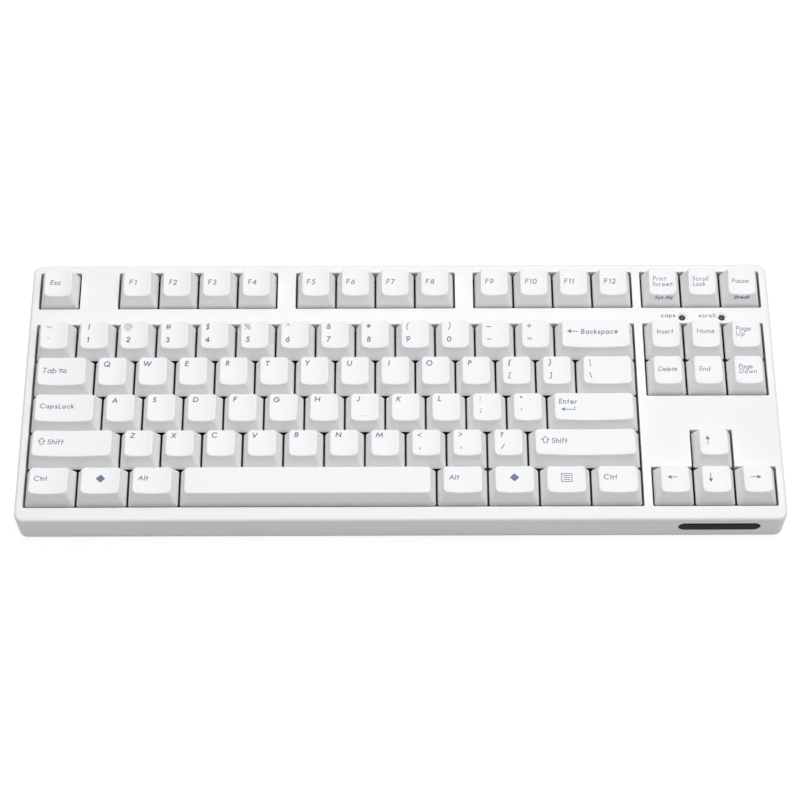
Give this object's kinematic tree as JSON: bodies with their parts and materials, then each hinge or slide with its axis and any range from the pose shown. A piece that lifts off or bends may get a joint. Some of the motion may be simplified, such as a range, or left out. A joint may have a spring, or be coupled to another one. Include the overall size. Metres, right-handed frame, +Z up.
{
  "type": "mechanical keyboard",
  "caption": "Compact mechanical keyboard without a number pad: white case, sculpted keycaps on travelling key switches, folding rear feet.",
  "frame": {"origin": "middle of the outer box, on the surface that the rubber pads stand on", "axes": "+X along the key rows to the right, +Y to the back edge, +Z up; the key deck slopes 3.5 degrees up to the back"},
  "size_m": [0.356, 0.1384, 0.037],
  "materials": {
    "case_shell": "satin",
    "case_base": "satin",
    "keycap_white": "satin",
    "plate_paint": "satin",
    "board_laminate": "satin",
    "chip_black": "matte",
    "switch_housing": "satin",
    "contact_brass": "satin",
    "spring_steel": "satin",
    "clip_black": "satin",
    "screw_steel": "satin",
    "wire_steel": "satin",
    "pad_rubber": "matte",
    "light_lens": "gloss",
    "gland_rubber": "matte",
    "badge_dark": "satin"
  },
  "bodies": {
    "case": {"top_case": "case_shell", "bottom_case": "case_base", "mounting_plate": "plate_paint", "circuit_board": "board_laminate", "board_components": "chip_black", "switch_bases": "switch_housing", "switch_covers": "switch_housing", "switch_contacts": "contact_brass", "return_springs": "spring_steel", "stabiliser_clips": "clip_black", "case_screws": "screw_steel", "rubber_feet": "pad_rubber", "indicator_lights": "light_lens", "cable_gland": "gland_rubber", "front_badge": "badge_dark"},
    "escape_key": {"escape_key": "keycap_white"},
    "f1_to_f4_keys": {"f1_to_f4_keys": "keycap_white"},
    "f5_to_f8_keys": {"f5_to_f8_keys": "keycap_white"},
    "f9_to_f12_keys": {"f9_to_f12_keys": "keycap_white"},
    "print_scroll_pause_keys": {"print_scroll_pause_keys": "keycap_white"},
    "grave_to_3_keys": {"grave_to_3_keys": "keycap_white"},
    "number_4_to_6_keys": {"number_4_to_6_keys": "keycap_white"},
    "number_7_to_9_keys": {"number_7_to_9_keys": "keycap_white"},
    "zero_to_equals_keys": {"zero_to_equals_keys": "keycap_white"},
    "backspace_key": {"backspace_key": "keycap_white"},
    "insert_home_page_up_keys": {"insert_home_page_up_keys": "keycap_white"},
    "tab_key": {"tab_key": "keycap_white"},
    "q_w_e_keys": {"q_w_e_keys": "keycap_white"},
    "r_t_y_keys": {"r_t_y_keys": "keycap_white"},
    "u_i_o_keys": {"u_i_o_keys": "keycap_white"},
    "p_and_bracket_keys": {"p_and_bracket_keys": "keycap_white"},
    "backslash_key": {"backslash_key": "keycap_white"},
    "delete_end_page_down_keys": {"delete_end_page_down_keys": "keycap_white"},
    "caps_lock_key": {"caps_lock_key": "keycap_white"},
    "a_s_d_keys": {"a_s_d_keys": "keycap_white"},
    "f_g_h_keys": {"f_g_h_keys": "keycap_white"},
    "j_k_l_keys": {"j_k_l_keys": "keycap_white"},
    "semicolon_quote_keys": {"semicolon_quote_keys": "keycap_white"},
    "enter_key": {"enter_key": "keycap_white"},
    "left_shift_key": {"left_shift_key": "keycap_white"},
    "z_x_c_keys": {"z_x_c_keys": "keycap_white"},
    "v_b_n_m_keys": {"v_b_n_m_keys": "keycap_white"},
    "comma_period_slash_keys": {"comma_period_slash_keys": "keycap_white"},
    "right_shift_key": {"right_shift_key": "keycap_white"},
    "up_arrow_key": {"up_arrow_key": "keycap_white"},
    "left_modifier_keys": {"left_modifier_keys": "keycap_white"},
    "space_bar": {"space_bar": "keycap_white"},
    "right_modifier_keys": {"right_modifier_keys": "keycap_white"},
    "left_arrow_key": {"left_arrow_key": "keycap_white"},
    "down_arrow_key": {"down_arrow_key": "keycap_white"},
    "right_arrow_key": {"right_arrow_key": "keycap_white"},
    "backspace_wire": {"backspace_wire": "wire_steel"},
    "enter_wire": {"enter_wire": "wire_steel"},
    "left_shift_wire": {"left_shift_wire": "wire_steel"},
    "right_shift_wire": {"right_shift_wire": "wire_steel"},
    "space_bar_wire": {"space_bar_wire": "wire_steel"},
    "left_foot": {"left_foot": "case_base", "left_foot_sole": "pad_rubber"},
    "right_foot": {"right_foot": "case_base", "right_foot_sole": "pad_rubber"}
  },
  "joints": [
    {"name": "escape_key_press", "type": "slide", "parent": "case", "child": "escape_key", "axis": [0, 0.061, -0.9981], "range_m": [0, 0.004], "stiffness_N_per_m": 75, "springref_m": -0.004, "deforming": ["return_springs"]},
    {"name": "f1_to_f4_keys_press", "type": "slide", "parent": "case", "child": "f1_to_f4_keys", "axis": [0, 0.061, -0.9981], "range_m": [0, 0.004], "stiffness_N_per_m": 300, "springref_m": -0.004, "deforming": ["return_springs"]},
    {"name": "f5_to_f8_keys_press", "type": "slide", "parent": "case", "child": "f5_to_f8_keys", "axis": [0, 0.061, -0.9981], "range_m": [0, 0.004], "stiffness_N_per_m": 300, "springref_m": -0.004, "deforming": ["return_springs"]},
    {"name": "f9_to_f12_keys_press", "type": "slide", "parent": "case", "child": "f9_to_f12_keys", "axis": [0, 0.061, -0.9981], "range_m": [0, 0.004], "stiffness_N_per_m": 300, "springref_m": -0.004, "deforming": ["return_springs"]},
    {"name": "print_scroll_pause_keys_press", "type": "slide", "parent": "case", "child": "print_scroll_pause_keys", "axis": [0, 0.061, -0.9981], "range_m": [0, 0.004], "stiffness_N_per_m": 225, "springref_m": -0.004, "deforming": ["return_springs"]},
    {"name": "grave_to_3_keys_press", "type": "slide", "parent": "case", "child": "grave_to_3_keys", "axis": [0, 0.061, -0.9981], "range_m": [0, 0.004], "stiffness_N_per_m": 300, "springref_m": -0.004, "deforming": ["return_springs"]},
    {"name": "number_4_to_6_keys_press", "type": "slide", "parent": "case", "child": "number_4_to_6_keys", "axis": [0, 0.061, -0.9981], "range_m": [0, 0.004], "stiffness_N_per_m": 225, "springref_m": -0.004, "deforming": ["return_springs"]},
    {"name": "number_7_to_9_keys_press", "type": "slide", "parent": "case", "child": "number_7_to_9_keys", "axis": [0, 0.061, -0.9981], "range_m": [0, 0.004], "stiffness_N_per_m": 225, "springref_m": -0.004, "deforming": ["return_springs"]},
    {"name": "zero_to_equals_keys_press", "type": "slide", "parent": "case", "child": "zero_to_equals_keys", "axis": [0, 0.061, -0.9981], "range_m": [0, 0.004], "stiffness_N_per_m": 225, "springref_m": -0.004, "deforming": ["return_springs"]},
    {"name": "backspace_key_press", "type": "slide", "parent": "case", "child": "backspace_key", "axis": [0, 0.061, -0.9981], "range_m": [0, 0.004], "stiffness_N_per_m": 75, "springref_m": -0.004, "deforming": ["return_springs"]},
    {"name": "insert_home_page_up_keys_press", "type": "slide", "parent": "case", "child": "insert_home_page_up_keys", "axis": [0, 0.061, -0.9981], "range_m": [0, 0.004], "stiffness_N_per_m": 225, "springref_m": -0.004, "deforming": ["return_springs"]},
    {"name": "tab_key_press", "type": "slide", "parent": "case", "child": "tab_key", "axis": [0, 0.061, -0.9981], "range_m": [0, 0.004], "stiffness_N_per_m": 75, "springref_m": -0.004, "deforming": ["return_springs"]},
    {"name": "q_w_e_keys_press", "type": "slide", "parent": "case", "child": "q_w_e_keys", "axis": [0, 0.061, -0.9981], "range_m": [0, 0.004], "stiffness_N_per_m": 225, "springref_m": -0.004, "deforming": ["return_springs"]},
    {"name": "r_t_y_keys_press", "type": "slide", "parent": "case", "child": "r_t_y_keys", "axis": [0, 0.061, -0.9981], "range_m": [0, 0.004], "stiffness_N_per_m": 225, "springref_m": -0.004, "deforming": ["return_springs"]},
    {"name": "u_i_o_keys_press", "type": "slide", "parent": "case", "child": "u_i_o_keys", "axis": [0, 0.061, -0.9981], "range_m": [0, 0.004], "stiffness_N_per_m": 225, "springref_m": -0.004, "deforming": ["return_springs"]},
    {"name": "p_and_bracket_keys_press", "type": "slide", "parent": "case", "child": "p_and_bracket_keys", "axis": [0, 0.061, -0.9981], "range_m": [0, 0.004], "stiffness_N_per_m": 225, "springref_m": -0.004, "deforming": ["return_springs"]},
    {"name": "backslash_key_press", "type": "slide", "parent": "case", "child": "backslash_key", "axis": [0, 0.061, -0.9981], "range_m": [0, 0.004], "stiffness_N_per_m": 75, "springref_m": -0.004, "deforming": ["return_springs"]},
    {"name": "delete_end_page_down_keys_press", "type": "slide", "parent": "case", "child": "delete_end_page_down_keys", "axis": [0, 0.061, -0.9981], "range_m": [0, 0.004], "stiffness_N_per_m": 225, "springref_m": -0.004, "deforming": ["return_springs"]},
    {"name": "caps_lock_key_press", "type": "slide", "parent": "case", "child": "caps_lock_key", "axis": [0, 0.061, -0.9981], "range_m": [0, 0.004], "stiffness_N_per_m": 75, "springref_m": -0.004, "deforming": ["return_springs"]},
    {"name": "a_s_d_keys_press", "type": "slide", "parent": "case", "child": "a_s_d_keys", "axis": [0, 0.061, -0.9981], "range_m": [0, 0.004], "stiffness_N_per_m": 225, "springref_m": -0.004, "deforming": ["return_springs"]},
    {"name": "f_g_h_keys_press", "type": "slide", "parent": "case", "child": "f_g_h_keys", "axis": [0, 0.061, -0.9981], "range_m": [0, 0.004], "stiffness_N_per_m": 225, "springref_m": -0.004, "deforming": ["return_springs"]},
    {"name": "j_k_l_keys_press", "type": "slide", "parent": "case", "child": "j_k_l_keys", "axis": [0, 0.061, -0.9981], "range_m": [0, 0.004], "stiffness_N_per_m": 225, "springref_m": -0.004, "deforming": ["return_springs"]},
    {"name": "semicolon_quote_keys_press", "type": "slide", "parent": "case", "child": "semicolon_quote_keys", "axis": [0, 0.061, -0.9981], "range_m": [0, 0.004], "stiffness_N_per_m": 150, "springref_m": -0.004, "deforming": ["return_springs"]},
    {"name": "enter_key_press", "type": "slide", "parent": "case", "child": "enter_key", "axis": [0, 0.061, -0.9981], "range_m": [0, 0.004], "stiffness_N_per_m": 75, "springref_m": -0.004, "deforming": ["return_springs"]},
    {"name": "left_shift_key_press", "type": "slide", "parent": "case", "child": "left_shift_key", "axis": [0, 0.061, -0.9981], "range_m": [0, 0.004], "stiffness_N_per_m": 75, "springref_m": -0.004, "deforming": ["return_springs"]},
    {"name": "z_x_c_keys_press", "type": "slide", "parent": "case", "child": "z_x_c_keys", "axis": [0, 0.061, -0.9981], "range_m": [0, 0.004], "stiffness_N_per_m": 225, "springref_m": -0.004, "deforming": ["return_springs"]},
    {"name": "v_b_n_m_keys_press", "type": "slide", "parent": "case", "child": "v_b_n_m_keys", "axis": [0, 0.061, -0.9981], "range_m": [0, 0.004], "stiffness_N_per_m": 300, "springref_m": -0.004, "deforming": ["return_springs"]},
    {"name": "comma_period_slash_keys_press", "type": "slide", "parent": "case", "child": "comma_period_slash_keys", "axis": [0, 0.061, -0.9981], "range_m": [0, 0.004], "stiffness_N_per_m": 225, "springref_m": -0.004, "deforming": ["return_springs"]},
    {"name": "right_shift_key_press", "type": "slide", "parent": "case", "child": "right_shift_key", "axis": [0, 0.061, -0.9981], "range_m": [0, 0.004], "stiffness_N_per_m": 75, "springref_m": -0.004, "deforming": ["return_springs"]},
    {"name": "up_arrow_key_press", "type": "slide", "parent": "case", "child": "up_arrow_key", "axis": [0, 0.061, -0.9981], "range_m": [0, 0.004], "stiffness_N_per_m": 75, "springref_m": -0.004, "deforming": ["return_springs"]},
    {"name": "left_modifier_keys_press", "type": "slide", "parent": "case", "child": "left_modifier_keys", "axis": [0, 0.061, -0.9981], "range_m": [0, 0.004], "stiffness_N_per_m": 225, "springref_m": -0.004, "deforming": ["return_springs"]},
    {"name": "space_bar_press", "type": "slide", "parent": "case", "child": "space_bar", "axis": [0, 0.061, -0.9981], "range_m": [0, 0.004], "stiffness_N_per_m": 75, "springref_m": -0.004, "deforming": ["return_springs"]},
    {"name": "right_modifier_keys_press", "type": "slide", "parent": "case", "child": "right_modifier_keys", "axis": [0, 0.061, -0.9981], "range_m": [0, 0.004], "stiffness_N_per_m": 300, "springref_m": -0.004, "deforming": ["return_springs"]},
    {"name": "left_arrow_key_press", "type": "slide", "parent": "case", "child": "left_arrow_key", "axis": [0, 0.061, -0.9981], "range_m": [0, 0.004], "stiffness_N_per_m": 75, "springref_m": -0.004, "deforming": ["return_springs"]},
    {"name": "down_arrow_key_press", "type": "slide", "parent": "case", "child": "down_arrow_key", "axis": [0, 0.061, -0.9981], "range_m": [0, 0.004], "stiffness_N_per_m": 75, "springref_m": -0.004, "deforming": ["return_springs"]},
    {"name": "right_arrow_key_press", "type": "slide", "parent": "case", "child": "right_arrow_key", "axis": [0, 0.061, -0.9981], "range_m": [0, 0.004], "stiffness_N_per_m": 75, "springref_m": -0.004, "deforming": ["return_springs"]},
    {"name": "backspace_wire_tilt", "type": "hinge", "parent": "case", "child": "backspace_wire", "pos_m": [0.09287, 0.03294, 0.0189], "axis": [1, 0, 0], "range_deg": [0, 28]},
    {"name": "enter_wire_tilt", "type": "hinge", "parent": "case", "child": "enter_wire", "pos_m": [0.09049, -0.00509, 0.01657], "axis": [1, 0, 0], "range_deg": [0, 28]},
    {"name": "left_shift_wire_tilt", "type": "hinge", "parent": "case", "child": "left_shift_wire", "pos_m": [-0.1524, -0.0241, 0.01541], "axis": [1, 0, 0], "range_deg": [0, 28]},
    {"name": "right_shift_wire_tilt", "type": "hinge", "parent": "case", "child": "right_shift_wire", "pos_m": [0.08572, -0.0241, 0.01541], "axis": [1, 0, 0], "range_deg": [0, 28]},
    {"name": "space_bar_wire_tilt", "type": "hinge", "parent": "case", "child": "space_bar_wire", "pos_m": [-0.04286, -0.04312, 0.01425], "axis": [1, 0, 0], "range_deg": [0, 28]},
    {"name": "left_foot_fold", "type": "hinge", "parent": "case", "child": "left_foot", "pos_m": [-0.11803, 0.0525, 0.0034], "axis": [1, 0, 0], "range_deg": [0, 100]},
    {"name": "right_foot_fold", "type": "hinge", "parent": "case", "child": "right_foot", "pos_m": [0.11803, 0.0525, 0.0034], "axis": [1, 0, 0], "range_deg": [0, 100]}
  ],
  "couplings": [
    {"joint": "backspace_wire_tilt", "follows": "backspace_key_press", "rad_per_m": 110.95},
    {"joint": "enter_wire_tilt", "follows": "enter_key_press", "rad_per_m": 110.95},
    {"joint": "left_shift_wire_tilt", "follows": "left_shift_key_press", "rad_per_m": 110.95},
    {"joint": "right_shift_wire_tilt", "follows": "right_shift_key_press", "rad_per_m": 110.95},
    {"joint": "space_bar_wire_tilt", "follows": "space_bar_press", "rad_per_m": 110.95}
  ]
}
